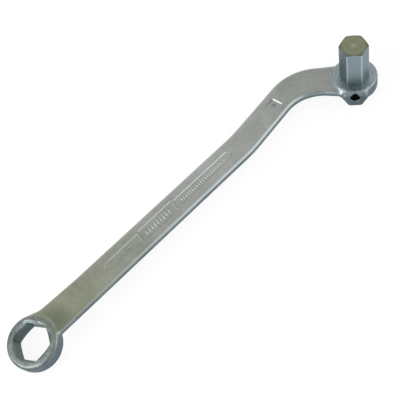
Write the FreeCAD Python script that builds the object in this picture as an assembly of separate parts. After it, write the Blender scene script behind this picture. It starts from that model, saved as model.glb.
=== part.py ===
# Ring-and-hexagon wrench: a drop-forged steel body with a hexagonal ring at one end,
# and an upright male hexagon held by a set screw in a boss at the other.
#
# Frame: millimetres. The origin is the centre of the ring's upper face, +X runs along
# the straight handle, +Z is the axis of the male hexagon.

import FreeCAD, Part
import math
import os

V = FreeCAD.Vector
UP = V(0, 0, 1)
OVERRUN = 5.0                   # how far a cutter stands past the metal it cuts

# ring head
ring_af = 28.8                  # across flats of the socket, for a hexagon of 1 1/8 inches
ring_outer_r = 22.3
ring_height = 14.4
ring_tilt = 15.0                # degrees between the ring's axis and the hexagon's axis
ring_top_round = 2.0
ring_bottom_round = 3.0
ring_mouth_over = 0.15          # the conical lead-in at each mouth starts this far outside the corners
ring_lead_in_slope = 30.0       # degrees from the ring's face

# handle and neck, all of one thickness with a level top face
handle_top_z = 3.6
handle_thickness = 8.0
handle_edge_round = 3.8
handle_bend_x = 243.0           # where the neck leaves the straight handle
neck_first_turn = 7.0           # degrees to the left
neck_final_heading = -45.5      # degrees from +X, aimed at the boss
half_width_ring = 13.7
half_width_bend = 13.0
half_width_neck = 12.4
half_width_boss_outer = 14.5    # where the neck's outer side would reach the boss axis
half_width_boss_inner = 20.0
first_bend_r = 130.0
outer_bend_r = 49.0
inner_bend_r = 35.0

# boss
boss_x = 355.8
boss_y = -27.4
boss_r = 20.0
boss_step = 0.8                 # boss face above the handle face
boss_height = 13.6
boss_top_round = 1.8
boss_bottom_round = 3.0

# pad that carries the set screw
pad_heading = -138.0            # degrees from +X
pad_r = 11.8
pad_reach = 21.8                # from the boss axis to the pad's end face
pad_axis_drop = 5.1             # screw axis below the boss face
pad_round = 2.4                 # round the pad's end face
pad_step = 0.9                  # its level top below the boss face
pad_top_round = 2.6             # where its top runs over to the end face

# male hexagon
hex_af = 22.2                   # a hexagon of 7/8 inch
hex_stand = 39.0                # above the boss face
hex_fit = 0.08                  # clearance on each flat in the boss
hex_face_r = 10.7               # radius of the turned face at each end
hex_chamfer_angle = 30.0        # degrees from the end face
centre_r = 1.6                  # centre drilling in the end face
centre_depth = 0.9

# set screw, 5/16 inch, with a hexagon key socket and a flat point
screw_r = 3.92
screw_thread_fit = 0.05
screw_recess = 2.7              # below the pad's end face
screw_point_r = 2.75
screw_point_chamfer = 1.2
screw_key_af = 3.97
screw_key_depth = 4.0
screw_seat_gap = 0.02           # between the point and the hexagon's flat
screw_mouth_chamfer = 0.6

# recessed panels on the handle face, along X
panel_depth = 0.6
panel_start_x = 80.3
panel_first_x = 121.0           # rib between the first panel and the middle one
panel_second_x = 160.8          # rib between the middle panel and the last one
panel_end_x = 229.4
panel_rib = 1.2                 # metal left between neighbouring panels
panel_low_half = 4.3            # half the height of the outer panels
panel_high_half = 5.7           # half the height of the middle panel
panel_point = 4.0               # length of the pointed ends
panel_slant = 3.0               # how far the dividing ribs lean over their height

# small size panel on the neck, deepest at its far end
size_panel_length = 17.0
size_panel_half = 5.0
size_panel_depth = 0.8
size_panel_from_bend = 50.7     # its far end, from the handle bend along the neck

# worked out from the sizes above
boss_top_z = handle_top_z + boss_step
boss_bottom_z = boss_top_z - boss_height
pad_axis_z = boss_top_z - pad_axis_drop
hex_top_z = boss_top_z + hex_stand
boss_centre = V(boss_x, boss_y, 0)
bend_point = V(handle_bend_x, 0, 0)


def heading(degrees):
    return V(math.cos(math.radians(degrees)), math.sin(math.radians(degrees)), 0)


def left_of(direction):
    return V(-direction.y, direction.x, 0)


def crossing(point_a, along_a, point_b, along_b):
    """Where two lines in plan cross."""
    normal = left_of(along_b)
    return point_a + along_a * ((point_b - point_a).dot(normal) / along_a.dot(normal))


def polygon_prism(points, z_low, z_high):
    outline = [V(p.x, p.y, z_low) for p in points]
    face = Part.Face(Part.makePolygon(outline + outline[:1]))
    return face.extrude(V(0, 0, z_high - z_low))


def hexagon_prism(af, z_low, z_high, corner_heading=0.0):
    corner_r = af / math.sqrt(3)
    corners = [heading(corner_heading + 60 * i) * corner_r for i in range(6)]
    return polygon_prism(corners, z_low, z_high)


def rounded_outline(points, radii):
    """A closed wire through points, with an arc tangent to both sides at each corner that has a radius."""
    count = len(points)
    ends = []
    for i in range(count):
        before = (points[i - 1] - points[i]).normalize()
        after = (points[(i + 1) % count] - points[i]).normalize()
        half = before.getAngle(after) / 2
        back = radii[i] / math.tan(half)
        bisector = (before + after).normalize()
        middle = points[i] + bisector * (radii[i] / math.sin(half) - radii[i])
        ends.append((points[i] + before * back, middle, points[i] + after * back))
    edges = []
    for i in range(count):
        start, middle, end = ends[i]
        if radii[i] > 0:
            edges.append(Part.Arc(start, middle, end).toShape())
        edges.append(Part.makeLine(end, ends[(i + 1) % count][0]))
    return Part.Wire(edges)


def neck_stations():
    """The corners of the centre line, the half widths left and right of it, and the turn there."""
    first = heading(neck_first_turn)
    last = heading(neck_final_heading)
    corner = crossing(bend_point, first, boss_centre, last)
    along_x = V(1, 0, 0)
    return [(V(0, 0, 0), half_width_ring, half_width_ring, along_x, along_x),
            (bend_point, half_width_bend, half_width_bend, along_x, first),
            (corner, half_width_neck, half_width_neck, first, last),
            (boss_centre, half_width_boss_outer, half_width_boss_inner, last, last)]


def shank():
    """Handle and neck as one flat bar with rounded long edges."""
    left, right = [], []
    for point, to_left, to_right, arriving, leaving in neck_stations():
        across = (left_of(arriving) + left_of(leaving)).normalize()
        mitre = across.dot(left_of(arriving))
        left.append(point + across * (to_left / mitre))
        right.append(point - across * (to_right / mitre))
    points = right + left[::-1]
    radii = [0, first_bend_r, inner_bend_r, 0, 0, outer_bend_r, first_bend_r, 0]
    wire = rounded_outline(points, radii)
    bottom_z = handle_top_z - handle_thickness
    wire.translate(V(0, 0, bottom_z))
    bar = Part.Face(wire).extrude(V(0, 0, handle_thickness))
    ends = ((left[0] + right[0]) / 2, (left[-1] + right[-1]) / 2)
    long_edges = [e for e in bar.Edges if is_long_edge(e, ends)]
    return bar.makeFillet(handle_edge_round, long_edges)


def is_long_edge(edge, ends):
    box = edge.BoundBox
    if box.ZLength > handle_thickness / 2:
        return False
    middle = edge.valueAt((edge.FirstParameter + edge.LastParameter) / 2)
    return all((V(middle.x, middle.y, 0) - end).Length > 0.01 for end in ends)


def ring_blank():
    blank = Part.makeCylinder(ring_outer_r, ring_height, V(0, 0, -ring_height))
    top = [e for e in blank.Edges if abs(e.BoundBox.ZMin) < 0.01 and e.Closed]
    blank = blank.makeFillet(ring_top_round, top)
    bottom = [e for e in blank.Edges if abs(e.BoundBox.ZMax + ring_height) < 0.01 and e.Closed]
    return blank.makeFillet(ring_bottom_round, bottom)


def ring_opening():
    """The hexagonal socket with a conical lead-in at both mouths, deepest at the middle of each flat."""
    mouth_r = ring_af / math.sqrt(3) + ring_mouth_over
    slope = math.tan(math.radians(ring_lead_in_slope))
    cutter = hexagon_prism(ring_af, -ring_height - OVERRUN, OVERRUN)
    outer_r = mouth_r + OVERRUN
    height = outer_r * slope
    above = OVERRUN * slope
    top = Part.makeCone(0, outer_r, height, V(0, 0, above - height))
    bottom = Part.makeCone(0, outer_r, height, V(0, 0, height - above - ring_height), -UP)
    return cutter.fuse([top, bottom])


def tilted(shape):
    shape.rotate(V(0, 0, 0), V(0, 1, 0), -ring_tilt)
    return shape


def boss_blank():
    base = V(boss_x, boss_y, boss_bottom_z)
    blank = Part.makeCylinder(boss_r, boss_height, base)
    top = [e for e in blank.Edges if abs(e.BoundBox.ZMin - boss_top_z) < 0.01 and e.Closed]
    blank = blank.makeFillet(boss_top_round, top)
    bottom = [e for e in blank.Edges if abs(e.BoundBox.ZMax - boss_bottom_z) < 0.01 and e.Closed]
    return blank.makeFillet(boss_bottom_round, bottom)


def screw_pad():
    """A round pad across the boss, levelled a step below the boss face, whose top rolls over to the end face."""
    along = V(1, 0, 0)
    drum = Part.makeCylinder(pad_r, pad_reach, V(0, 0, pad_axis_z), along)
    rim = [e for e in drum.Edges if e.Closed and e.CenterOfMass.x > pad_reach - 0.01]
    drum = drum.makeFillet(pad_round, rim)
    depth = 2 * (pad_r + OVERRUN)
    level_z = boss_top_z - pad_step
    level = Part.makeBox(pad_reach, depth, depth, V(0, -depth / 2, level_z - depth))
    lip = [e for e in level.Edges if e.BoundBox.XMin > pad_reach - 0.01 and e.BoundBox.ZMin > level_z - 0.01]
    pad = drum.common(level.makeFillet(pad_top_round, lip))
    pad.rotate(V(0, 0, 0), UP, pad_heading)
    pad.translate(boss_centre)
    return pad


def screw_hole():
    """The tapped hole from the pad's face to the hexagon, with a chamfered mouth."""
    outward = heading(pad_heading)
    axis_point = V(boss_x, boss_y, pad_axis_z)
    hole_r = screw_r + screw_thread_fit
    hole = Part.makeCylinder(hole_r, pad_reach + OVERRUN, axis_point, outward)
    mouth = axis_point + outward * (pad_reach - screw_mouth_chamfer)
    cone = Part.makeCone(hole_r, hole_r + screw_mouth_chamfer + OVERRUN,
                         screw_mouth_chamfer + OVERRUN, mouth, outward)
    return hole.fuse(cone)


def hexagon_at_boss(af, z_low, z_high):
    prism = hexagon_prism(af, z_low, z_high, pad_heading + 30)
    prism.translate(boss_centre)
    return prism


def panel_cutters():
    """Three panels in a row: a pointed end, a taller middle, and a pointed end."""
    floor_z = handle_top_z - panel_depth
    top_z = handle_top_z + OVERRUN

    def lean(y):
        return panel_slant * y / (2 * panel_high_half)

    def at(x, y, slanted=True):
        return V(x + (lean(y) if slanted else 0), y, 0)

    low, high, rib = panel_low_half, panel_high_half, panel_rib / 2
    first = [V(panel_start_x, 0, 0), V(panel_start_x + panel_point, -low, 0),
             at(panel_first_x - rib, -low), at(panel_first_x - rib, low),
             V(panel_start_x + panel_point, low, 0)]
    second = [at(panel_first_x + rib, -high), at(panel_second_x - rib, -high),
              at(panel_second_x - rib, high), at(panel_first_x + rib, high)]
    third = [at(panel_second_x + rib, -low), V(panel_end_x - panel_point, -low, 0),
             V(panel_end_x, 0, 0), V(panel_end_x - panel_point, low, 0),
             at(panel_second_x + rib, low)]
    return [polygon_prism(points, floor_z, top_z) for points in (first, second, third)]


def size_panel_cutter():
    """A shallow wedge that runs out towards the handle."""
    along = heading(neck_first_turn)
    across = left_of(along)
    far = bend_point + along * size_panel_from_bend
    near = far - along * size_panel_length
    top = V(0, 0, handle_top_z + OVERRUN)
    profile = [near + V(0, 0, handle_top_z), far + V(0, 0, handle_top_z - size_panel_depth),
               far + top, near + top]
    profile = [p - across * size_panel_half for p in profile]
    face = Part.Face(Part.makePolygon(profile + profile[:1]))
    return face.extrude(across * (2 * size_panel_half))


def wrench_body():
    body = shank().fuse([tilted(ring_blank()), boss_blank(), screw_pad()])
    body = body.cut(tilted(ring_opening()))
    body = body.cut(hexagon_at_boss(hex_af + 2 * hex_fit, boss_bottom_z - OVERRUN, boss_top_z + OVERRUN))
    body = body.cut(screw_hole())
    body = body.cut(panel_cutters() + [size_panel_cutter()])
    return body.removeSplitter()


def hex_bit():
    """The hexagon bar, turned to a chamfer at both ends and centre-drilled on top."""
    bar = hexagon_at_boss(hex_af, boss_bottom_z, hex_top_z)
    corner_r = hex_af / math.sqrt(3) + 1
    drop = (corner_r - hex_face_r) * math.tan(math.radians(hex_chamfer_angle))
    profile = [V(0, 0, boss_bottom_z), V(hex_face_r, 0, boss_bottom_z),
               V(corner_r, 0, boss_bottom_z + drop), V(corner_r, 0, hex_top_z - drop),
               V(hex_face_r, 0, hex_top_z), V(0, 0, hex_top_z)]
    turned = Part.Face(Part.makePolygon(profile + profile[:1])).revolve(V(0, 0, 0), UP, 360)
    turned.translate(boss_centre)
    top = V(boss_x, boss_y, hex_top_z - centre_depth)
    centre = Part.makeCone(0, centre_r * (1 + OVERRUN / centre_depth), centre_depth + OVERRUN, top)
    return bar.common(turned).cut(centre)


def set_screw():
    """Along its own axis from the point outwards, then laid into the tapped hole."""
    tail_z = pad_reach - screw_recess - hex_af / 2 - screw_seat_gap
    profile = [V(0, 0, 0), V(screw_point_r, 0, 0), V(screw_r, 0, screw_point_chamfer),
               V(screw_r, 0, tail_z - screw_mouth_chamfer), V(screw_r - screw_mouth_chamfer, 0, tail_z),
               V(0, 0, tail_z)]
    screw = Part.Face(Part.makePolygon(profile + profile[:1])).revolve(V(0, 0, 0), UP, 360)
    screw = screw.cut(hexagon_prism(screw_key_af, tail_z - screw_key_depth, tail_z + OVERRUN))
    screw.rotate(V(0, 0, 0), V(0, 1, 0), 90)
    screw.rotate(V(0, 0, 0), UP, pad_heading)
    seat = heading(pad_heading) * (hex_af / 2 + screw_seat_gap)
    screw.translate(V(boss_x, boss_y, pad_axis_z) + seat)
    return screw


def main():
    os.makedirs("parts", exist_ok=True)
    nodes = {"wrench_body": wrench_body(), "hex_bit": hex_bit(), "set_screw": set_screw()}
    for name, shape in nodes.items():
        shape.exportStep("parts/" + name + ".step")
        print(name, "valid" if shape.isValid() else "NOT VALID", "solids", len(shape.Solids),
              "volume", round(shape.Volume / 1000, 2), "cm3")


main()
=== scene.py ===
import bpy
import bmesh
from math import atan2, cos, degrees, exp, pi, radians, sin, sqrt, tan
from mathutils import Matrix, Vector


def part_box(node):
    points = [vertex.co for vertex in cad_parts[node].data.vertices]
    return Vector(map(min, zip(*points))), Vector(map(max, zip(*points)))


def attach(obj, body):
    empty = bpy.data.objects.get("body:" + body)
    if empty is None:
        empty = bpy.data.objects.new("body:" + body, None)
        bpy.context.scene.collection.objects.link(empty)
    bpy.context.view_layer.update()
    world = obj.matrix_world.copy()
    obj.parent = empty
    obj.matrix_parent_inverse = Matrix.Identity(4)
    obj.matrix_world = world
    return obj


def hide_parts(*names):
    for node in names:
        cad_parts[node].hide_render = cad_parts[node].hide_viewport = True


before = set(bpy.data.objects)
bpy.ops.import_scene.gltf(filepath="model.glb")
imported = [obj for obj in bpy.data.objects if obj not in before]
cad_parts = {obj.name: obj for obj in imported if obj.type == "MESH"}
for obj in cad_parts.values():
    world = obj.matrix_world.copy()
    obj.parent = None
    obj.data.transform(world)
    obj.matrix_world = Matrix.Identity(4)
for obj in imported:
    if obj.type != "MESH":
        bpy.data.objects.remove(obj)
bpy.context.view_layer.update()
mm = 0.001       # meshes are made in millimetres and become metres when they are finished


def millimetreBox(node):
    low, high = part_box(node)
    return low / mm, high / mm


# the places that everything else is set against, read from the frame
bitLow, bitHigh = millimetreBox("hex_bit")
screwLow, screwHigh = millimetreBox("set_screw")
bitAxis = (bitLow + bitHigh) / 2
screwMiddle = (screwLow + screwHigh) / 2
screwHeading = atan2(screwMiddle.y - bitAxis.y, screwMiddle.x - bitAxis.x)
bitCorner = 12.82      # from the bit's axis to its upright edges


def heading(angle):
    return Vector((cos(angle), sin(angle), 0))


def newSolid(bm):
    # a closed mesh becomes an object
    bmesh.ops.remove_doubles(bm, verts=bm.verts, dist=0.002)
    bmesh.ops.recalc_face_normals(bm, faces=bm.faces)
    mesh = bpy.data.meshes.new("solid")
    bm.to_mesh(mesh)
    bm.free()
    thing = bpy.data.objects.new("solid", mesh)
    bpy.context.scene.collection.objects.link(thing)
    return thing


def joined(things):
    bm = bmesh.new()
    for thing in things:
        bm.from_mesh(thing.data)
        bpy.data.objects.remove(thing)
    mesh = bpy.data.meshes.new("joined")
    bm.to_mesh(mesh)
    bm.free()
    whole = bpy.data.objects.new("joined", mesh)
    bpy.context.scene.collection.objects.link(whole)
    return whole


def applied(thing, kind, **settings):
    # adds a modifier and makes its result the mesh
    modifier = thing.modifiers.new(kind.lower(), kind)
    for name, value in settings.items():
        setattr(modifier, name, value)
    graph = bpy.context.evaluated_depsgraph_get()
    result = bpy.data.meshes.new_from_object(thing.evaluated_get(graph))
    thing.modifiers.clear()
    thing.data = result
    return thing


def cut(thing, tool, operation="DIFFERENCE", crossing=False):
    applied(thing, "BOOLEAN", operation=operation, solver="EXACT", use_self=crossing, object=tool)
    bpy.data.objects.remove(tool)
    return thing


def finishPiece(thing, name, body, node, material, sharpAngle):
    thing.name = name
    thing.data.name = name
    thing.data.transform(Matrix.Scale(mm, 4))
    thing.data.shade_smooth()
    thing.data.set_sharp_from_angle(angle=radians(sharpAngle))
    thing.data.materials.clear()
    thing.data.materials.append(material)
    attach(thing, body)
    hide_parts(node)
    print(name, len(thing.data.polygons), "faces")


def disc(radius, low, high, lowRound, highRound, sides=120):
    # a round blank about Z with rounded rims
    bm = cone(radius, radius, low, high, sides)
    for level, size in ((low, lowRound), (high, highRound)):
        bmesh.ops.bevel(bm, geom=levelEdges(bm, level), offset=size, affect="EDGES", segments=7,
                        profile=0.5, material=-1)
    return bm


def cone(lowRadius, highRadius, low, high, sides=96):
    bm = bmesh.new()
    place = Matrix.Translation((0, 0, (low + high) / 2))
    bmesh.ops.create_cone(bm, cap_ends=True, segments=sides, radius1=lowRadius, radius2=highRadius,
                          depth=high - low, matrix=place)
    return bm


def hexagon(acrossFlats, low, high, cornerHeading=0):
    bm = cone(acrossFlats / sqrt(3), acrossFlats / sqrt(3), low, high, sides=6)
    corner = bm.verts[:][0].co
    turn = cornerHeading - atan2(corner.y, corner.x)
    return moved(bm, Matrix.Rotation(turn, 4, "Z"))


def moved(bm, matrix):
    bmesh.ops.transform(bm, matrix=matrix, verts=bm.verts)
    return bm


def roundedOutline(corners):
    # plan points of a closed outline, from corners of (x, y, radius of the arc there)
    points = []
    for i, (x, y, radius) in enumerate(corners):
        here = Vector((x, y))
        before = (Vector(corners[i - 1][:2]) - here).normalized()
        after = (Vector(corners[(i + 1) % len(corners)][:2]) - here).normalized()
        if radius == 0:
            points.append(here)
            continue
        half = before.angle(after) / 2
        start = before * (radius / tan(half))
        centre = (before + after).normalized() * (radius / sin(half))
        turn = 2 * half - pi if before.cross(after) > 0 else pi - 2 * half
        steps = max(3, round(abs(degrees(turn)) / 3))
        for k in range(steps + 1):
            points.append(here + centre + Matrix.Rotation(turn * k / steps, 2) @ (start - centre))
    return points


def plate(points, low, high):
    bm = bmesh.new()
    bm.faces.new([bm.verts.new((p[0], p[1], low)) for p in points])
    raised = bmesh.ops.extrude_face_region(bm, geom=bm.faces[:])
    top = [g for g in raised["geom"] if isinstance(g, bmesh.types.BMVert)]
    bmesh.ops.translate(bm, vec=(0, 0, high - low), verts=top)
    return bm


def levelEdges(bm, level):
    return [e for e in bm.edges if all(abs(v.co.z - level) < 0.01 for v in e.verts)]


def lathe(profile, steps=96):
    # a solid of revolution from points of (radius, height) that start and end on the axis
    bm = bmesh.new()
    points = [bm.verts.new((x, 0, z)) for x, z in profile]
    edges = [bm.edges.new(pair) for pair in zip(points, points[1:])]
    bmesh.ops.spin(bm, geom=points + edges, cent=(0, 0, 0), axis=(0, 0, 1), angle=2 * pi,
                   steps=steps, use_merge=True)
    return bm


class Signal:
    # wraps a socket, so that shader maths reads as an expression
    def __init__(self, finish, socket):
        self.finish = finish
        self.socket = socket

    def calc(self, operation, first, second):
        return self.finish.node("ShaderNodeMath", {"operation": operation}, {0: first, 1: second})

    def __add__(self, other):
        return self.calc("ADD", self, other)

    def __sub__(self, other):
        return self.calc("SUBTRACT", self, other)

    def __rsub__(self, other):
        return self.calc("SUBTRACT", other, self)

    def __mul__(self, other):
        return self.calc("MULTIPLY", self, other)

    __radd__ = __add__
    __rmul__ = __mul__


class Finish:
    # the nodes of one material, or of the world
    def __init__(self, owner):
        self.owner = owner
        owner.use_nodes = True
        self.tree = owner.node_tree
        self.tree.nodes.clear()

    def node(self, kind, settings, sockets, output=0):
        made = self.tree.nodes.new(kind)
        for name, value in settings.items():
            setattr(made, name, value)
        for name, value in sockets.items():
            socket = made.inputs[name]
            if isinstance(value, Signal):
                self.tree.links.new(value.socket, socket)
            elif socket.type == "RGBA":
                socket.default_value = (*value, 1)
            else:
                socket.default_value = value
        return Signal(self, made.outputs[output]) if len(made.outputs) else made

    def coordinate(self, output):
        return self.node("ShaderNodeTexCoord", {}, {}, output)

    def along(self, vector, axis):
        return self.node("ShaderNodeSeparateXYZ", {}, {0: vector}, axis)

    def noise(self, size, detail=3, stretch=(1, 1, 1), roughness=0.5):
        # size is the width of one patch in millimetres, along an axis whose stretch is 1
        mapped = self.node("ShaderNodeMapping", {}, {"Vector": self.coordinate("Object"), "Scale": stretch})
        return self.node("ShaderNodeTexNoise", {}, {"Vector": mapped, "Scale": 1 / (size * mm),
                                                    "Detail": detail, "Roughness": roughness})

    def step(self, value, low, high):
        # 0 below low, 1 above high, smooth between
        return self.node("ShaderNodeMapRange", {"interpolation_type": "SMOOTHSTEP"},
                         {"Value": value, "From Min": low, "From Max": high})

    def mix(self, share, first, second):
        return self.node("ShaderNodeMix", {"data_type": "RGBA"}, {0: share, 6: first, 7: second}, 2)

    def turned(self, centre, angles):
        # the object's coordinates about a centre in millimetres, turned by angles
        centred = self.node("ShaderNodeVectorMath", {"operation": "SUBTRACT"},
                            {0: self.coordinate("Object"), 1: [c * mm for c in centre]})
        return self.node("ShaderNodeMapping", {}, {"Vector": centred, "Rotation": angles})

    def dot(self, vector, direction):
        return self.node("ShaderNodeVectorMath", {"operation": "DOT_PRODUCT"}, {0: vector, 1: direction}, 1)

    def distance(self, point, keep, place=None):
        # in millimetres from a point in millimetres, along the axes that keep has as 1
        flat = self.node("ShaderNodeVectorMath", {"operation": "MULTIPLY"},
                         {0: place or self.coordinate("Object"), 1: keep})
        target = [p * k * mm for p, k in zip(point, keep)]
        metres = self.node("ShaderNodeVectorMath", {"operation": "DISTANCE"}, {0: flat, 1: target}, 1)
        return metres * (1 / mm)

    def bump(self, height):
        # height in millimetres
        return self.node("ShaderNodeBump", {}, {"Height": height, "Distance": mm, "Strength": 1.0})

    def steel(self, colour, roughness, normal, edgeTint=(0.75, 0.75, 0.75)):
        shader = self.node("ShaderNodeBsdfPrincipled", {}, {
            "Metallic": 1.0, "Base Color": colour, "Roughness": roughness, "Normal": normal,
            "Specular Tint": edgeTint})
        self.node("ShaderNodeOutputMaterial", {}, {"Surface": shader})
        return self.owner


camera = {
    "place": (-0.08977, -0.41944, 0.74959),
    "aim": (0.17906, -0.01101, 0.0),
    "roll": -14.31,        # degrees
    "lens": 97.2,          # for a sensor 36 wide
}


def makeCamera():
    data = bpy.data.cameras.new("camera")
    data.sensor_width = 36
    data.lens = camera["lens"]
    data.clip_start = 0.01
    data.clip_end = 20
    eye = bpy.data.objects.new("camera", data)
    place = Vector(camera["place"])
    look = (Vector(camera["aim"]) - place).to_track_quat("-Z", "Y").to_matrix().to_4x4()
    eye.matrix_world = Matrix.Translation(place) @ look @ Matrix.Rotation(radians(camera["roll"]), 4, "Z")
    bpy.context.scene.collection.objects.link(eye)
    bpy.context.scene.camera = eye


makeCamera()
print("camera in place")


forging = {
    "handleDark": (0.300, 0.311, 0.292),   # level faces along the handle
    "handleLight": (0.395, 0.406, 0.388),
    "neckDark": (0.242, 0.256, 0.236),     # level faces between the bends
    "neckLight": (0.325, 0.339, 0.320),
    "oliveDark": (0.215, 0.230, 0.165),    # level faces towards the ring
    "oliveLight": (0.315, 0.330, 0.255),
    "oliveEdge": (0.250, 0.278, 0.248),    # where they run over to the sides: a painted bluish reflection on the rounded edges
    "handleEdge": (0.325, 0.372, 0.385),
    "scooped": (0.125, 0.140, 0.100),      # painted shade in the dip beside the ring
    "ringDark": (0.082, 0.096, 0.092),     # the ring's face, speckled, its darker tone partly painted shade
    "ringLight": (0.205, 0.234, 0.226),
    "bossDark": (0.180, 0.216, 0.220),     # the boss, speckled, its darker bluish tone partly painted shade
    "bossLight": (0.306, 0.360, 0.372),
    "leadDark": (0.060, 0.080, 0.080),     # painted shade on the cones at the socket's mouths
    "leadLight": (0.150, 0.180, 0.178),
    "lugDark": (0.120, 0.150, 0.160),      # around the screw: painted shade, bluish like the upright faces
    "lugLight": (0.230, 0.270, 0.280),
    "sideDark": (0.085, 0.120, 0.135),     # upright faces: painted shade and a painted bluish reflection
    "sideLight": (0.180, 0.230, 0.250),
    "boreDark": (0.055, 0.085, 0.085),     # painted shade inside the ring's socket
    "boreLight": (0.110, 0.150, 0.145),
    "screwBore": (0.020, 0.025, 0.028),    # painted shade inside the screw's hole
    "wearAndSheen": (0.400, 0.420, 0.405),         # edges of the sunk panels and their marks: rubbed wear, and a painted highlight on the sloping walls
    "cloudSize": 24,
    "patchSize": 4.5,
    "grainSize": 1.2,
    "grainDepth": 0.012,                   # on the handle
    "headGrainDepth": 0.070,               # on the ring and the boss
    "roughness": 0.27,
}

# where its tones change: each pair is where a zone starts to fade and where it ends
zones = {
    "ringCentre": (-6, 0, 0),
    "ring": (21, 29),
    "dipCentre": (25, -6, 0),              # the middle of the painted shade in the dip beside the ring
    "dip": (2, 22),
    "boss": (19.0, 22),                    # from the bit's axis
    "lugFromBit": 21,
    "lug": (8, 13),
    "socket": (16.7, 17.4),                # from the ring's axis
    "leadIn": (17.0, 17.6),
    "screwHole": (3.9, 4.5),               # from the screw's axis
    "screwSide": (2, 6),                   # from the bit's axis towards the screw
    "fromRing": (20, 200),                 # along X
    "towardsBoss": (235, 320),
    "wearAndSheenDeep": (0.50, 0.30),              # below the handle's face
    "wearAndSheenShallow": (0.09, 0.03),
    "wearAndSheenStart": (70, 75),                 # along X
    "wearAndSheenEnd": (296, 300),
    "wearAndSheenHalf": (7.5, 9.0),                # from the handle's middle line
}


def wearAndSheenEdges(f):
    # the edges of the sunk panels and of their marks: rubbed wear, and a painted highlight along the
    # sloping walls
    place, rise = f.coordinate("Object"), f.along(f.coordinate("Normal"), 2)
    along, height = f.along(place, 0), f.along(place, 2)
    top = wrench["handleTop"]
    pastBend = f.node("ShaderNodeMath", {"operation": "MAXIMUM"}, {0: along - wrench["bendX"] * mm, 1: 0.0})
    fromMiddle = f.node("ShaderNodeMath", {"operation": "ABSOLUTE"}, {
        0: f.along(place, 1) - pastBend * tan(radians(wrench["firstTurn"]))})
    wearAndSheen = f.step(height, *[(top - drop) * mm for drop in zones["wearAndSheenDeep"]])
    wearAndSheen = wearAndSheen * (1 - f.step(height, *[(top - drop) * mm for drop in zones["wearAndSheenShallow"]]))
    wearAndSheen = wearAndSheen * f.step(along, *[x * mm for x in zones["wearAndSheenStart"]])
    wearAndSheen = wearAndSheen * (1 - f.step(along, *[x * mm for x in zones["wearAndSheenEnd"]]))
    wearAndSheen = wearAndSheen * (1 - f.step(fromMiddle, *[y * mm for y in zones["wearAndSheenHalf"]]))
    return wearAndSheen * f.step(rise, 0.3, 0.5) * (1 - f.step(rise, 0.93, 0.98))


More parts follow.
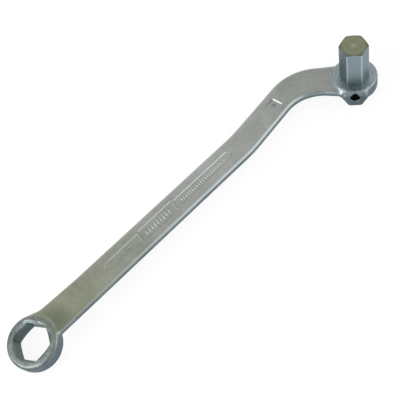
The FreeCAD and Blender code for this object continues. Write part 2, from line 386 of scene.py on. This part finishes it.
def forgedSteel():
    f = Finish(bpy.data.materials.new("forged_steel"))
    place, normal = f.coordinate("Object"), f.coordinate("Normal")
    rise, along = f.along(normal, 2), f.along(place, 0)
    # level faces against upright ones; the upright faces' darker bluish colour is painted shade and
    # reflection
    up = f.step(rise, 0.05, 0.85)
    ringZone = 1 - f.step(f.distance(zones["ringCentre"], (1, 1, 1)), *zones["ring"])
    dip = 1 - f.step(f.distance(zones["dipCentre"], (1, 1, 0)), *zones["dip"])
    bossZone = 1 - f.step(f.distance(bitAxis, (1, 1, 0)), *zones["boss"])
    head = f.node("ShaderNodeMath", {"operation": "MAXIMUM"}, {0: ringZone, 1: bossZone})
    # the socket's walls lie near the ring's own axis and stand along it
    tilt = radians(wrench["ringTilt"])
    ringPlace = f.turned((0, 0, 0), (0, tilt, 0))
    ringReach = f.distance((0, 0, 0), (1, 1, 0), ringPlace)
    facing = f.dot(normal, (-sin(tilt), 0, cos(tilt)))
    bore = (1 - f.step(ringReach, *zones["socket"])) * (1 - f.step(facing, 0.3, 0.6))
    leadIn = (1 - f.step(ringReach, *zones["leadIn"])) * (1 - f.step(facing, 0.90, 0.96)) * ringZone
    lugPoint = bitAxis + zones["lugFromBit"] * heading(screwHeading)
    lugZone = (1 - f.step(f.distance(lugPoint, (1, 1, 0)), *zones["lug"])) * (1 - bossZone)
    screwPlace = f.turned((bitAxis.x, bitAxis.y, wrench["padAxis"]), (0, 0, -screwHeading))
    screwBore = f.step(f.along(screwPlace, 0), *[x * mm for x in zones["screwSide"]]) * (
        1 - f.step(f.distance((0, 0, 0), (0, 1, 1), screwPlace), *zones["screwHole"]))

    cloud = f.noise(forging["cloudSize"], 3)
    patch = f.noise(forging["patchSize"], 4)
    grain = f.noise(forging["grainSize"], 2)
    tone = f.step(cloud * 0.5 + patch * 0.3 + grain * (0.1 + head * 0.5) - head * 0.2, 0.25, 0.70)
    fromRing = f.step(along, *[x * mm for x in zones["fromRing"]])
    towardsBoss = f.step(along, *[x * mm for x in zones["towardsBoss"]])
    dark = f.mix(fromRing, forging["oliveDark"], forging["handleDark"])
    light = f.mix(fromRing, forging["oliveLight"], forging["handleLight"])
    dark = f.mix(towardsBoss, dark, forging["neckDark"])
    light = f.mix(towardsBoss, light, forging["neckLight"])
    # painted shade darkens the dip beside the ring
    handle = f.mix(dip * 0.7, f.mix(tone, dark, light), forging["scooped"])
    # painted bluish reflection on the rounded edges
    edge = f.mix(fromRing, forging["oliveEdge"], forging["handleEdge"])
    handle = f.mix(f.step(rise, 0.72, 0.97), edge, handle)
    # the ring's face is speckled and made darker, partly painted shade
    top = f.mix(ringZone, handle, f.mix(tone, forging["ringDark"], forging["ringLight"]))
    # the boss is speckled and made darker, partly painted shade
    top = f.mix(bossZone, top, f.mix(tone, forging["bossDark"], forging["bossLight"]))
    # painted shade on the lead-in cones
    top = f.mix(leadIn, top, f.mix(tone, forging["leadDark"], forging["leadLight"]))
    # painted shade on the lug around the screw
    top = f.mix(lugZone, top, f.mix(tone, forging["lugDark"], forging["lugLight"]))
    # painted shade and reflection on the upright faces
    side = f.mix(tone, forging["sideDark"], forging["sideLight"])
    # rubbed wear and a painted highlight on the panels' edges
    colour = f.mix(up, side, f.mix(wearAndSheenEdges(f), top, forging["wearAndSheen"]))
    # painted shade on the socket's walls
    colour = f.mix(bore, colour, f.mix(tone, forging["boreDark"], forging["boreLight"]))
    # painted shade inside the screw's hole
    colour = f.mix(screwBore, colour, forging["screwBore"])
    depth = forging["grainDepth"] + head * (1 - bore) * (forging["headGrainDepth"] - forging["grainDepth"])
    relief = grain * depth + patch * 0.05
    roughness = forging["roughness"] + patch * 0.1 + head * grain * 0.12 + lugZone * 0.2
    return f.steel(colour, roughness, f.bump(relief))


turning = {
    "topDark": (0.158, 0.175, 0.108),
    "topLight": (0.240, 0.256, 0.168),
    # upright sides: a painted bluish reflection, set apart from the end face's olive
    "sideDark": (0.196, 0.270, 0.298),
    "sideLight": (0.268, 0.343, 0.367),
    "edge": (0.480, 0.540, 0.560),         # bright along the corners: rubbed wear and a painted glint
    "centre": (0.270, 0.285, 0.215),
    # painted dark reflection on the end's chamfer
    "chamfer": (0.105, 0.115, 0.085),
    "centreReach": (1.4, 2.4),             # from the bit's axis
    "chamferReach": (10.6, 10.9),
    "bandScale": 0.55,
    "ringPitch": 0.55,
    "ringDepth": 0.004,
    "drawnWidth": 0.35,
    "drawnDepth": 0.006,
    "roughness": 0.40,
}


def turnedSteel():
    f = Finish(bpy.data.materials.new("turned_steel"))
    up = f.step(f.along(f.coordinate("Normal"), 2), 0.3, 0.7)
    centred = f.node("ShaderNodeMapping", {}, {
        "Vector": f.coordinate("Object"), "Location": (-bitAxis.x * mm, -bitAxis.y * mm, 0)})
    rings = f.node("ShaderNodeTexWave", {"wave_type": "RINGS", "rings_direction": "Z"}, {
        "Vector": centred, "Scale": 2 * pi / (20 * turning["ringPitch"] * mm),
        "Distortion": 0.6, "Detail": 2.0, "Detail Scale": 0.3}, 1)
    drawn = f.noise(turning["drawnWidth"], 3, (1, 1, 0.02))
    cloud = f.noise(9, 3)
    reach = f.distance(bitAxis, (1, 1, 0))
    bands = f.node("ShaderNodeTexNoise", {"noise_dimensions": "1D"}, {
        "W": reach, "Scale": turning["bandScale"], "Detail": 2.0})
    tone = f.step(rings * 0.2 + cloud * 0.3 + bands * 0.5, 0.3, 0.7)
    top = f.mix(tone, turning["topDark"], turning["topLight"])
    top = f.mix(1 - f.step(reach, *turning["centreReach"]), top, turning["centre"])
    # painted dark reflection on the chamfer
    top = f.mix(f.step(reach, *turning["chamferReach"]), top, turning["chamfer"])
    side = f.mix(drawn * 0.4 + cloud * 0.6, turning["sideDark"], turning["sideLight"])
    # rubbed wear and a painted glint along the corners
    side = f.mix(f.step(reach, bitCorner - 0.45, bitCorner - 0.2), side, turning["edge"])
    height = rings * up * turning["ringDepth"] + drawn * (1 - up) * turning["drawnDepth"]
    # end face and sides get different colours, a painted reflection
    return f.steel(f.mix(up, side, top), turning["roughness"] + cloud * 0.1, f.bump(height))


def blackSteel():
    f = Finish(bpy.data.materials.new("screw_steel"))
    grain = f.noise(0.5, 3)
    colour = f.mix(grain, (0.018, 0.020, 0.022), (0.055, 0.055, 0.055))
    return f.steel(colour, 0.32 + grain * 0.2, f.bump(grain * 0.01))


wrench = {
    "ringAcrossFlats": 28.8,
    "ringRadius": 22.3,
    "ringHeight": 14.4,
    "ringTilt": 15,               # degrees
    "ringTopRound": 2.4,
    "ringBottomRound": 3.0,
    "ringMouthOver": 0.15,        # the lead-in cone starts this far outside the corners
    "ringLeadInSlope": 30,        # degrees from the ring's face
    "flare": 10.0,                # arc in plan where the handle runs into the ring
    "farFlare": ((60.0, 13.45, 90.0), (22.6, 14.9, 11.0), (8.0, 20.4, 0.0)),    # its far side, wider
    "scoopDepth": 1.9,            # the handle's face dips towards the ring
    "scoopLength": 9.0,
    "bossDip": 1.1,               # and a little towards the boss
    "bossDipLength": 7.0,
    "bossDipHeading": 165,
    "handleTop": 3.6,
    "handleThickness": 8.0,
    "handleEdge": 3.8,
    "bendX": 243.0,
    "firstTurn": 7.0,             # degrees to the left
    "lastHeading": -45.5,         # degrees, aimed at the boss
    "halfWidths": (13.7, 13.0, 12.4, 14.5, 20.0),    # ring, bend, neck, boss outside and inside
    "bendRadii": (130.0, 49.0, 35.0),                # first bend, second outside and inside
    "bossRadius": 20.0,
    "bossTop": 4.4,
    "bossTopRound": 1.8,
    "bossBottomRound": 3.0,
    "padRadius": 11.8,
    "padReach": 21.8,
    "padAxis": -0.7,
    "padStep": 0.9,
    "padHalf": 11.7,              # half its width at the screw, and at its foot
    "padLowHalf": 5.8,
    "padRound": 2.6,              # round its end face
    "socketAcrossFlats": 22.36,
    "screwHole": 3.97,
    "screwMouth": 0.6,
    "voxel": 0.6,
    "blendPasses": 48,
}


def crossing(pointA, alongA, pointB, alongB):
    normal = Vector((-alongB.y, alongB.x, 0))
    return pointA + alongA * ((pointB - pointA).dot(normal) / alongA.dot(normal))


bendPoint = Vector((wrench["bendX"], 0, 0))
firstWay = heading(radians(wrench["firstTurn"]))
lastWay = heading(radians(wrench["lastHeading"]))
bossCentre = Vector((bitAxis.x, bitAxis.y, 0))
ringTurn = Matrix.Rotation(-radians(wrench["ringTilt"]), 4, "Y")
toBoss = Matrix.Translation(bossCentre)
lugTurn = Matrix.Rotation(-screwHeading, 4, "Z") @ toBoss.inverted()
padTurn = (Matrix.Translation((bitAxis.x, bitAxis.y, wrench["padAxis"]))
           @ Matrix.Rotation(screwHeading, 4, "Z") @ Matrix.Rotation(pi / 2, 4, "Y"))


def shankOutline():
    ringHalf, bendHalf, neckHalf, outsideHalf, insideHalf = wrench["halfWidths"]
    firstRadius, outsideRadius, insideRadius = wrench["bendRadii"]
    neckCorner = crossing(bendPoint, firstWay, bossCentre, lastWay)
    # the flare's arc touches the ring here
    reach = wrench["ringRadius"] + wrench["flare"]
    beside = ringHalf + wrench["flare"]
    touching = Vector((sqrt(reach ** 2 - beside ** 2), beside, 0)) * (wrench["ringRadius"] / reach)
    tangent = Vector((-touching.y, touching.x, 0)).normalized()
    flareCorner = crossing(touching, tangent, Vector((0, ringHalf, 0)), Vector((1, 0, 0)))
    stations = [(bendPoint, bendHalf, bendHalf, Vector((1, 0, 0)), firstWay),
                (neckCorner, neckHalf, neckHalf, firstWay, lastWay),
                (bossCentre, outsideHalf, insideHalf, lastWay, lastWay)]
    left, right = [], []
    for point, toLeft, toRight, arriving, leaving in stations:
        bisector = (arriving + leaving).normalized()
        across = Vector((-bisector.y, bisector.x, 0)) / bisector.dot(arriving)
        left.append(point + across * toLeft)
        right.append(point - across * toRight)
    flareEnd = touching + tangent
    start = [(0, -10, 0), (flareEnd.x, -flareEnd.y, 0), (flareCorner.x, -ringHalf, wrench["flare"])]
    finish = [*wrench["farFlare"], (0, 10, 0)]
    sideA = [(p.x, p.y, r) for p, r in zip(right, (firstRadius, insideRadius, 0))]
    sideB = [(p.x, p.y, r) for p, r in zip(left, (firstRadius, outsideRadius, 0))]
    return roundedOutline(start + sideA + sideB[::-1] + finish)


def shank():
    low = wrench["handleTop"] - wrench["handleThickness"]
    bm = plate(shankOutline(), low, wrench["handleTop"])
    longEdges = levelEdges(bm, low) + levelEdges(bm, wrench["handleTop"])
    bmesh.ops.bevel(bm, geom=longEdges, offset=wrench["handleEdge"], affect="EDGES", segments=9,
                    profile=0.5, material=-1, clamp_overlap=False)
    return newSolid(bm)


def screwPad():
    # a lug across the boss, a step below its face, that narrows downwards
    upper, lower, drop = wrench["padHalf"], wrench["padLowHalf"], wrench["padRadius"]
    rise = wrench["bossTop"] - wrench["padStep"] - wrench["padAxis"]
    section = [(-rise, -upper, 4), (1.5, -upper, 6), (drop, -lower, 3),
               (drop, lower, 3), (1.5, upper, 6), (-rise, upper, 4)]
    bm = plate(roundedOutline(section), 0, wrench["padReach"])
    bmesh.ops.bevel(bm, geom=levelEdges(bm, wrench["padReach"]), offset=wrench["padRound"], affect="EDGES",
                    segments=8, profile=0.5, material=-1)
    return newSolid(moved(bm, padTurn))


def blendWeights(thing):
    # where the forging's forms run into each other, the surface is smoothed most
    group = thing.vertex_groups.new(name="blend")
    unturned = ringTurn.inverted()
    for vertex in thing.data.vertices:
        place = vertex.co
        ring = unturned @ place
        ringGap = abs(ring.xy.length - wrench["ringRadius"] - 0.6)
        ringShare = 0.6 * max(0, 1 - ringGap / 4.5) if place.x > 10 else 0
        lug = lugTurn @ place
        lugShare = 0
        if lug.x > 13.5 and lug.z > -9:
            lugShare = max(1.0 - abs(abs(lug.y) - wrench["padHalf"]) / 6, 0.7 * min(1, lug.x - 17.5))
        bossGap = abs((place - bossCentre).xy.length - wrench["bossRadius"])
        bossShare = 0.06 * max(0, 1 - bossGap / 3.0) if place.x < 371 else 0
        share = max(ringShare, bossShare, lugShare, 0.02)
        group.add([vertex.index], share, "REPLACE")


def scoop(thing):
    # between its raised edges the handle's face dips to meet the ring
    unturned = ringTurn.inverted()
    low = wrench["handleTop"] - wrench["handleThickness"] / 2
    for vertex in thing.data.vertices:
        place = vertex.co
        gap = (unturned @ place).xy.length - wrench["ringRadius"]
        if place.x > 10 and place.z > low and -3 < gap < 40:
            across = max(0, 1 - (place.y / 11.5) ** 2) ** 0.7
            fade = min(1, (gap + 3) / 7) * exp(-max(0, gap) / wrench["scoopLength"])
            place.z -= wrench["scoopDepth"] * across * fade
        fromBoss = place - bossCentre
        gap = fromBoss.xy.length - wrench["bossRadius"]
        if place.z > low and -0.8 < gap < 30:
            facing = max(0, fromBoss.xy.normalized().dot(heading(radians(wrench["bossDipHeading"])).xy))
            lug = lugTurn @ place
            beside = min(1, max(0, (abs(lug.y) - 8) / 4)) if lug.x > 0 else 1
            fade = min(1, (gap + 0.8) / 1.4) * exp(-max(0, gap) / wrench["bossDipLength"])
            place.z -= wrench["bossDip"] * fade * beside * min(1, 4 * facing ** 3)


def panelTool(points, depth):
    # the cutter for one sunk panel, with sloping walls
    top = wrench["handleTop"]
    bm = plate(points, top - depth, top + 3)
    bmesh.ops.bevel(bm, geom=levelEdges(bm, top - depth), offset=depth * 0.95, affect="EDGES", segments=1,
                    profile=0.5, material=-1)
    return newSolid(bm)


panels = {
    "start": 80.3,
    "firstRib": 121.0,
    "secondRib": 160.8,
    "end": 229.4,
    "rib": 1.2,
    "lowHalf": 4.3,
    "highHalf": 5.7,
    "point": 4.0,
    "slant": 3.0,
    "depth": 0.6,
    "markHeight": 0.5,          # the marks stand this much above the panel's floor
    "digitSize": 6.4,
    "digitX": 102,
    "middleBars": (128, 154, 9, 2.9, 1.5),      # first, last, how many, half their height, width
    "lastBars": (169, 219, 21, 2.1, 1.1),
    "smallDigitSize": 4.6,
    "smallDigitFromEnd": 6.2,
    "sizeLength": 17.0,
    "sizeHalf": 5.0,
    "sizeDepth": 0.8,
    "sizeFromBend": 50.7,
}


def slantedBars(first, last, count, half, width):
    # a row of raised bars that lean like the ribs
    bars = []
    low = wrench["handleTop"] - panels["depth"] - 0.3
    for i in range(count):
        x = first + (last - first) * i / (count - 1)
        lean = panels["slant"] * half / (2 * panels["highHalf"])
        corners = [(x - lean - width / 2, -half, 0.3), (x - lean + width / 2, -half, 0.3),
                   (x + lean + width / 2, half, 0.3), (x + lean - width / 2, half, 0.3)]
        high = wrench["handleTop"] - panels["depth"] + panels["markHeight"]
        bm = plate(roundedOutline(corners), low, high)
        bmesh.ops.bevel(bm, geom=levelEdges(bm, high), offset=0.3, affect="EDGES", segments=1, profile=0.5,
                        material=-1)
        bars.append(newSolid(bm))
    return bars


def digits(words, size, place, turn, top):
    curve = bpy.data.curves.new("digits", "FONT")
    curve.body = words
    curve.size = size
    curve.align_x = "CENTER"
    curve.align_y = "CENTER"
    curve.extrude = 0.8
    curve.bevel_depth = 0.2
    curve.offset = 0.02 * size - 0.2
    curve.resolution_u = 6
    source = bpy.data.objects.new("digits", curve)
    bpy.context.scene.collection.objects.link(source)
    graph = bpy.context.evaluated_depsgraph_get()
    bm = bmesh.new()
    bm.from_mesh(bpy.data.meshes.new_from_object(source.evaluated_get(graph)))
    bpy.data.objects.remove(source)
    moved(bm, Matrix.Translation((place.x, place.y, top - 1)) @ Matrix.Rotation(turn, 4, "Z"))
    return newSolid(bm)


def panelTools():
    def lean(x, y):
        return (x + panels["slant"] * y / (2 * panels["highHalf"]), y)

    low, high, rib = panels["lowHalf"], panels["highHalf"], panels["rib"] / 2
    markTop = wrench["handleTop"] - panels["depth"] + panels["markHeight"]
    start, end, point = panels["start"], panels["end"], panels["point"]
    firstRib, secondRib = panels["firstRib"], panels["secondRib"]
    first = panelTool([(start, 0), (start + point, -low), lean(firstRib - rib, -low),
                       lean(firstRib - rib, low), (start + point, low)], panels["depth"])
    middle = panelTool([lean(firstRib + rib, -high), lean(secondRib - rib, -high),
                        lean(secondRib - rib, high), lean(firstRib + rib, high)], panels["depth"])
    last = panelTool([lean(secondRib + rib, -low), (end - point, -low), (end, 0),
                      (end - point, low), lean(secondRib + rib, low)], panels["depth"])
    cut(first, digits("1-1/8", panels["digitSize"], Vector((panels["digitX"], 0, 0)), 0, markTop))
    cut(middle, joined(slantedBars(*panels["middleBars"])))
    cut(last, joined(slantedBars(*panels["lastBars"])))
    return [first, middle, last, sizePanelTool()]


def sizePanelTool():
    # a wedge that runs out towards the handle
    across = Vector((-firstWay.y, firstWay.x, 0))
    far = bendPoint + firstWay * panels["sizeFromBend"]
    near = far - firstWay * panels["sizeLength"]
    top = wrench["handleTop"]
    bm = bmesh.new()
    sideways = across * panels["sizeHalf"]
    lows = [near - sideways, near + sideways, far + sideways, far - sideways]
    depths = (0, 0, panels["sizeDepth"], panels["sizeDepth"])
    bm.faces.new([bm.verts.new((p.x, p.y, top - depth)) for p, depth in zip(lows, depths)])
    raised = bmesh.ops.extrude_face_region(bm, geom=bm.faces[:])
    for g in raised["geom"]:
        if isinstance(g, bmesh.types.BMVert):
            g.co.z = top + 3
    farLine = [e for e in bm.edges if all(v.co.z < top - 0.7 for v in e.verts)]
    bmesh.ops.bevel(bm, geom=farLine, offset=0.75, affect="EDGES", segments=1, profile=0.5, material=-1)
    tool = newSolid(bm)
    middle = far - firstWay * panels["smallDigitFromEnd"]
    mark = digits("7/8", panels["smallDigitSize"], middle, radians(wrench["firstTurn"]), top - 0.05)
    return cut(tool, mark)


def ringTools():
    height, reach = wrench["ringHeight"], 5
    socket = newSolid(moved(hexagon(wrench["ringAcrossFlats"], -height - reach, reach), ringTurn))
    wide = wrench["ringAcrossFlats"] / sqrt(3) + wrench["ringMouthOver"] + reach
    slope = tan(radians(wrench["ringLeadInSlope"]))
    above = reach * slope
    deep = above - wide * slope
    upper = [(0, deep), (wide, above), (0, above)]
    lower = [(0, -height - above), (wide, -height - above), (0, -height - deep)]
    return socket, joined([newSolid(moved(lathe(profile, 120), ringTurn)) for profile in (upper, lower)])


def makeWrench():
    parts = [
        shank(),
        newSolid(moved(disc(wrench["ringRadius"], -wrench["ringHeight"], 0,
                            wrench["ringBottomRound"], wrench["ringTopRound"]), ringTurn)),
        newSolid(moved(disc(wrench["bossRadius"], bitLow.z, wrench["bossTop"],
                            wrench["bossBottomRound"], wrench["bossTopRound"]), toBoss)),
        screwPad(),
    ]
    body = joined(parts)
    applied(body, "REMESH", mode="VOXEL", voxel_size=wrench["voxel"])
    scoop(body)
    blendWeights(body)
    applied(body, "SMOOTH", factor=0.5, iterations=wrench["blendPasses"], vertex_group="blend")
    print("forging blended,", len(body.data.polygons), "faces")
    socket, leadIns = ringTools()
    hole, mouthStart = wrench["screwHole"], wrench["padReach"] - wrench["screwMouth"]
    bitSocket = hexagon(wrench["socketAcrossFlats"], bitLow.z - 5, wrench["bossTop"] + 5,
                        screwHeading + pi / 6)
    mouthEnd = mouthStart + 4
    screwHole = lathe([(0, 5), (hole, 5), (hole, mouthStart), (hole + 4, mouthEnd), (0, mouthEnd)])
    cut(body, joined([socket, newSolid(moved(bitSocket, toBoss))] + panelTools()))
    cut(body, joined([leadIns, newSolid(moved(screwHole, padTurn))]))
    finishPiece(body, "forged_wrench", "wrench", "wrench_body", forgedSteel(), 32)


makeWrench()


bit = {
    "acrossFlats": bitCorner * sqrt(3),
    "edge": 0.22,               # softened long edges
    "faceRadius": 10.7,
    "chamfer": 30,              # degrees
    "pip": 1.6,
    "pipDepth": 0.9,
}


def makeBit():
    low, high = bitLow.z, bitHigh.z
    bar = hexagon(bit["acrossFlats"], low, high, screwHeading + pi / 6)
    upright = [e for e in bar.edges if abs(e.verts[0].co.z - e.verts[1].co.z) > 1]
    bmesh.ops.bevel(bar, geom=upright, offset=bit["edge"], affect="EDGES", segments=4, profile=0.5,
                    material=-1)
    wide = bit["acrossFlats"] / sqrt(3) + 1
    drop = (wide - bit["faceRadius"]) * tan(radians(bit["chamfer"]))
    turned = lathe([(0, low), (bit["faceRadius"], low), (wide, low + drop), (wide, high - drop),
                    (bit["faceRadius"] + 0.12, high - 0.07), (bit["faceRadius"] - 0.1, high),
                    (bit["pip"] + 0.15, high), (bit["pip"], high - 0.08), (0, high - bit["pipDepth"])], 128)
    thing = newSolid(moved(bar, toBoss))
    cut(thing, newSolid(moved(turned, toBoss)), "INTERSECT")
    finishPiece(thing, "drive_hexagon", "drive", "hex_bit", turnedSteel(), 20)


makeBit()


screw = {
    "radius": 3.92,
    "pitch": 1.41,
    "threadDepth": 0.62,
    "pointRadius": 2.75,
    "pointChamfer": 1.2,
    "tailChamfer": 0.6,
    "keyAcrossFlats": 3.97,
    "keyDepth": 4.0,
    "seat": 11.12,              # from the bit's axis to the point
    "length": 7.98,
}


def makeScrew():
    start, end, outer = screw["seat"], screw["seat"] + screw["length"], screw["radius"]
    root, pitch = outer - screw["threadDepth"], screw["pitch"]
    thread = bmesh.new()
    turns = int(screw["length"] / pitch) + 4
    points = []
    for i in range(turns):
        z = start + (i - 2) * pitch
        points += [(root, z), (outer, z + pitch * 0.42), (outer, z + pitch * 0.58)]
    points.append((root, start + (turns - 2) * pitch))
    points = [thread.verts.new((x, 0, z)) for x, z in points]
    edges = [thread.edges.new(pair) for pair in zip(points, points[1:])]
    bmesh.ops.spin(thread, geom=points + edges, cent=(0, 0, 0), axis=(0, 0, 1), angle=2 * pi,
                   dvec=(0, 0, pitch / 64), steps=64)
    bmesh.ops.remove_doubles(thread, verts=thread.verts, dist=0.002)
    for level, side in ((start - 0.5, -1), (end + 0.5, 1)):
        everything = thread.verts[:] + thread.edges[:] + thread.faces[:]
        bmesh.ops.bisect_plane(thread, geom=everything, plane_co=(0, 0, level), plane_no=(0, 0, side),
                               clear_outer=True)
        bmesh.ops.holes_fill(thread, edges=[e for e in thread.edges if e.is_boundary])
    blank = lathe([(0, start), (screw["pointRadius"], start), (outer, start + screw["pointChamfer"]),
                   (outer + 0.2, start + 2), (outer + 0.2, end - 1), (outer, end - screw["tailChamfer"]),
                   (outer - screw["tailChamfer"], end), (0, end)], 64)
    thing = newSolid(moved(thread, padTurn))
    cut(thing, newSolid(moved(blank, padTurn)), "INTERSECT")
    key = hexagon(screw["keyAcrossFlats"], end - screw["keyDepth"], end + 2)
    cut(thing, newSolid(moved(key, padTurn)))
    finishPiece(thing, "clamp_screw", "clamp", "set_screw", blackSteel(), 30)


makeScrew()


studio = {
    "floorWidth": 3.0,
    "floorPaint": (0.88, 0.88, 0.88),
    "floorGlow": 0.90,          # share of plain white that the eye and reflections see
    "horizon": 1.24,
    "zenith": 0.95,
    # darker patches of the world: heading and height, edge and middle, share taken
    "shade": ((-135, 15), 0.55, 0.90, 0.22),
    "gap": ((-122, 50), 0.880, 0.965, 0.50),
    "lamps": [                  # name, heading and height, width, depth, watts
        ("broad", (-52, 34), 0.8, 0.8, 2.0),
        ("side", (179, 33), 0.85, 0.6, 6.3),
    ],
}


def towards(way):
    around, rise = radians(way[0]), radians(way[1])
    return Vector((cos(around) * cos(rise), sin(around) * cos(rise), sin(rise)))


def makeFloor():
    # it touches the ring's lowest edge and the screw pad
    tilt = radians(wrench["ringTilt"])
    edge = wrench["ringRadius"] - wrench["ringBottomRound"]
    ringX = -edge * cos(tilt) + wrench["ringHeight"] * sin(tilt) + 0.8
    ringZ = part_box("wrench_body")[0].z / mm
    padZ = wrench["padAxis"] - wrench["padRadius"]
    slope = atan2(padZ - ringZ, bitAxis.x - ringX)
    bm = bmesh.new()
    bmesh.ops.create_grid(bm, x_segments=1, y_segments=1, size=studio["floorWidth"] / 2 / mm)
    moved(bm, Matrix.Translation((ringX, 0, ringZ - 0.1)) @ Matrix.Rotation(-slope, 4, "Y"))
    floor = newSolid(bm)
    floor.name = "floor"
    floor.data.transform(Matrix.Scale(mm, 4))
    f = Finish(bpy.data.materials.new("floor"))
    path = [f.node("ShaderNodeLightPath", {}, {}, ray) for ray in
            ("Is Camera Ray", "Is Glossy Ray", "Is Transmission Ray")]
    seen = path[0] + path[1] + path[2]
    paint = f.node("ShaderNodeBsdfDiffuse", {}, {"Color": studio["floorPaint"]})
    white = f.node("ShaderNodeEmission", {}, {"Color": (1, 1, 1), "Strength": 1.0})
    shown = f.node("ShaderNodeMixShader", {}, {0: seen * studio["floorGlow"], 1: paint, 2: white})
    f.node("ShaderNodeOutputMaterial", {}, {"Surface": shown})
    floor.data.materials.append(f.owner)


def makeWorld():
    world = bpy.data.worlds.new("studio")
    bpy.context.scene.world = world
    f = Finish(world)
    height = f.along(f.coordinate("Generated"), 2)
    level = f.step(height, 0.05, 0.95)
    light = studio["horizon"] + level * (studio["zenith"] - studio["horizon"])
    for patch in ("shade", "gap"):
        way, edge, middle, share = studio[patch]
        light = light * (1 - f.step(f.dot(f.coordinate("Generated"), towards(way)), edge, middle) * share)
    seen = f.node("ShaderNodeLightPath", {}, {}, "Is Camera Ray")
    around = f.node("ShaderNodeBackground", {}, {"Color": (1, 1, 1), "Strength": light})
    white = f.node("ShaderNodeBackground", {}, {"Color": (1, 1, 1), "Strength": 1.0})
    shown = f.node("ShaderNodeMixShader", {}, {0: seen, 1: around, 2: white})
    f.node("ShaderNodeOutputWorld", {}, {"Surface": shown})


def makeLamps():
    middle = Vector((0.17, 0, 0))
    for name, way, width, depth, watts in studio["lamps"]:
        data = bpy.data.lights.new(name, "AREA")
        data.shape = "RECTANGLE"
        data.size = width
        data.size_y = depth
        data.energy = watts
        lamp = bpy.data.objects.new(name, data)
        facing = (-towards(way)).to_track_quat("-Z", "Y")
        lamp.matrix_world = Matrix.Translation(middle + towards(way)) @ facing.to_matrix().to_4x4()
        bpy.context.scene.collection.objects.link(lamp)


makeFloor()
makeWorld()
makeLamps()
bpy.context.scene.view_settings.view_transform = "Standard"
print("studio lit")
